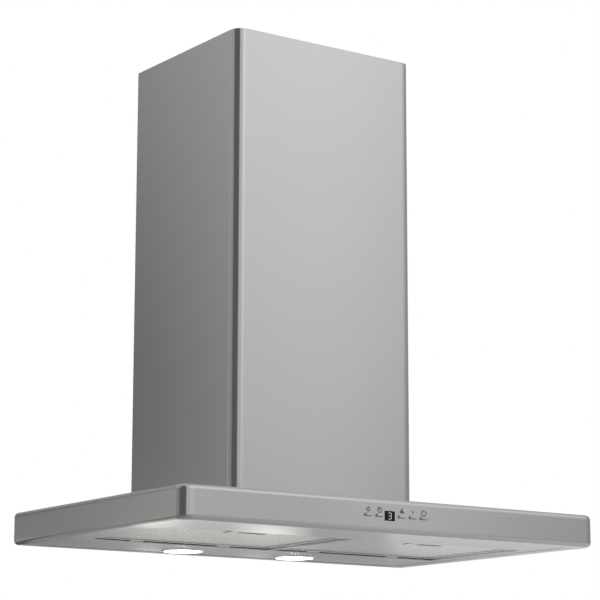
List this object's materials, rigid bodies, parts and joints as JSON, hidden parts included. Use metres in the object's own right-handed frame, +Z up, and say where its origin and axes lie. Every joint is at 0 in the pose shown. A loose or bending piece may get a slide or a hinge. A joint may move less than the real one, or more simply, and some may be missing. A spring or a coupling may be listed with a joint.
{
  "type": "wall mount range hood",
  "caption": "T-shaped stainless wall mount range hood: slab canopy with push keys, display, lamps and hinged grease filters, a telescoping duct cover and a centrifugal fan inside.",
  "frame": {"origin": "on the wall plane, at the centre of the wall plate's screw holes", "axes": "+X to the right seen from the room, +Y into the wall, +Z up; the fascia faces -Y"},
  "size_m": [0.8, 0.524, 0.844],
  "materials": {
    "stainless": "brushed",
    "bezel_steel": "satin",
    "galvanised": "galvanised",
    "filter_aluminium": "satin",
    "heat_sink": "cast",
    "motor_metal": "cast",
    "bright_steel": "zinc plated",
    "black_plastic": "moulded",
    "grey_plastic": "moulded",
    "white_plastic": "moulded",
    "lamp_glow": "frosted diffuser",
    "display_black": "tinted window",
    "board_green": "solder mask",
    "rubber_black": "matt"
  },
  "bodies": {
    "hood": {"blower_box": "galvanised", "bottom_pan": "stainless", "box_screws": "bright_steel", "cable_gland": "black_plastic", "canopy_back": "galvanised", "canopy_shell": "stainless", "capacitor_clip": "galvanised", "collar_screws": "bright_steel", "control_board": "board_green", "control_housing": "black_plastic", "cover_feet": "galvanised", "damper_pin": "bright_steel", "display_module": "black_plastic", "display_window": "display_black", "duct_cover_lower": "stainless", "fan_motor": "motor_metal", "junction_box": "grey_plastic", "junction_lid": "grey_plastic", "key_switches": "black_plastic", "lamp_bezel_left": "bezel_steel", "lamp_bezel_right": "bezel_steel", "lamp_body_left": "heat_sink", "lamp_body_right": "heat_sink", "lamp_driver": "white_plastic", "lamp_leads": "rubber_black", "lamp_lens_left": "lamp_glow", "lamp_lens_right": "lamp_glow", "loom_clips": "white_plastic", "loom_grommet": "rubber_black", "motor_bracket": "galvanised", "motor_bushes": "rubber_black", "outlet_collar": "grey_plastic", "run_capacitor": "white_plastic", "scroll_left": "grey_plastic", "scroll_right": "grey_plastic", "wall_plate": "galvanised", "wiring_loom": "rubber_black"},
    "upper_duct_cover": {"duct_cover_upper": "stainless", "cover_bracket": "galvanised"},
    "fan": {"fan_wheel": "grey_plastic", "motor_shaft": "bright_steel"},
    "damper_front": {"damper_flap_front": "grey_plastic"},
    "damper_rear": {"damper_flap_rear": "grey_plastic"},
    "filter_left": {"filter_frame_left": "filter_aluminium", "filter_mesh_left": "filter_aluminium"},
    "latch_left": {"filter_latch_left": "black_plastic"},
    "filter_right": {"filter_frame_right": "filter_aluminium", "filter_mesh_right": "filter_aluminium"},
    "latch_right": {"filter_latch_right": "black_plastic"},
    "light_key": {"key_light": "stainless"},
    "timer_key": {"key_timer": "stainless"},
    "speed_key": {"key_speed": "stainless"},
    "boost_key": {"key_boost": "stainless"},
    "power_key": {"key_power": "stainless"}
  },
  "joints": [
    {"name": "upper_cover_slide", "type": "slide", "parent": "hood", "child": "upper_duct_cover", "axis": [0, 0, 1], "range_m": [0, 0.4]},
    {"name": "fan_spin", "type": "hinge", "parent": "hood", "child": "fan", "pos_m": [0, -0.1345, -0.065], "axis": [1, 0, 0], "continuous": true},
    {"name": "damper_front_lift", "type": "hinge", "parent": "hood", "child": "damper_front", "pos_m": [0, -0.098, 0.0816], "axis": [-1, 0, 0], "range_deg": [0, 75]},
    {"name": "damper_rear_lift", "type": "hinge", "parent": "hood", "child": "damper_rear", "pos_m": [0, -0.098, 0.0816], "axis": [1, 0, 0], "range_deg": [0, 75]},
    {"name": "filter_left_swing", "type": "hinge", "parent": "hood", "child": "filter_left", "pos_m": [-0.1745, -0.1506, -0.2343], "axis": [1, 0, 0], "range_deg": [0, 75]},
    {"name": "latch_left_slide", "type": "slide", "parent": "filter_left", "child": "latch_left", "axis": [0, 1, 0], "range_m": [0, 0.006], "stiffness_N_per_m": 300},
    {"name": "filter_right_swing", "type": "hinge", "parent": "hood", "child": "filter_right", "pos_m": [0.1745, -0.1506, -0.2343], "axis": [1, 0, 0], "range_deg": [0, 75]},
    {"name": "latch_right_slide", "type": "slide", "parent": "filter_right", "child": "latch_right", "axis": [0, 1, 0], "range_m": [0, 0.006], "stiffness_N_per_m": 300},
    {"name": "light_key_press", "type": "slide", "parent": "hood", "child": "light_key", "axis": [0, 1, 0], "range_m": [0, 0.0009], "stiffness_N_per_m": 1200},
    {"name": "timer_key_press", "type": "slide", "parent": "hood", "child": "timer_key", "axis": [0, 1, 0], "range_m": [0, 0.0009], "stiffness_N_per_m": 1200},
    {"name": "speed_key_press", "type": "slide", "parent": "hood", "child": "speed_key", "axis": [0, 1, 0], "range_m": [0, 0.0009], "stiffness_N_per_m": 1200},
    {"name": "boost_key_press", "type": "slide", "parent": "hood", "child": "boost_key", "axis": [0, 1, 0], "range_m": [0, 0.0009], "stiffness_N_per_m": 1200},
    {"name": "power_key_press", "type": "slide", "parent": "hood", "child": "power_key", "axis": [0, 1, 0], "range_m": [0, 0.0009], "stiffness_N_per_m": 1200}
  ]
}
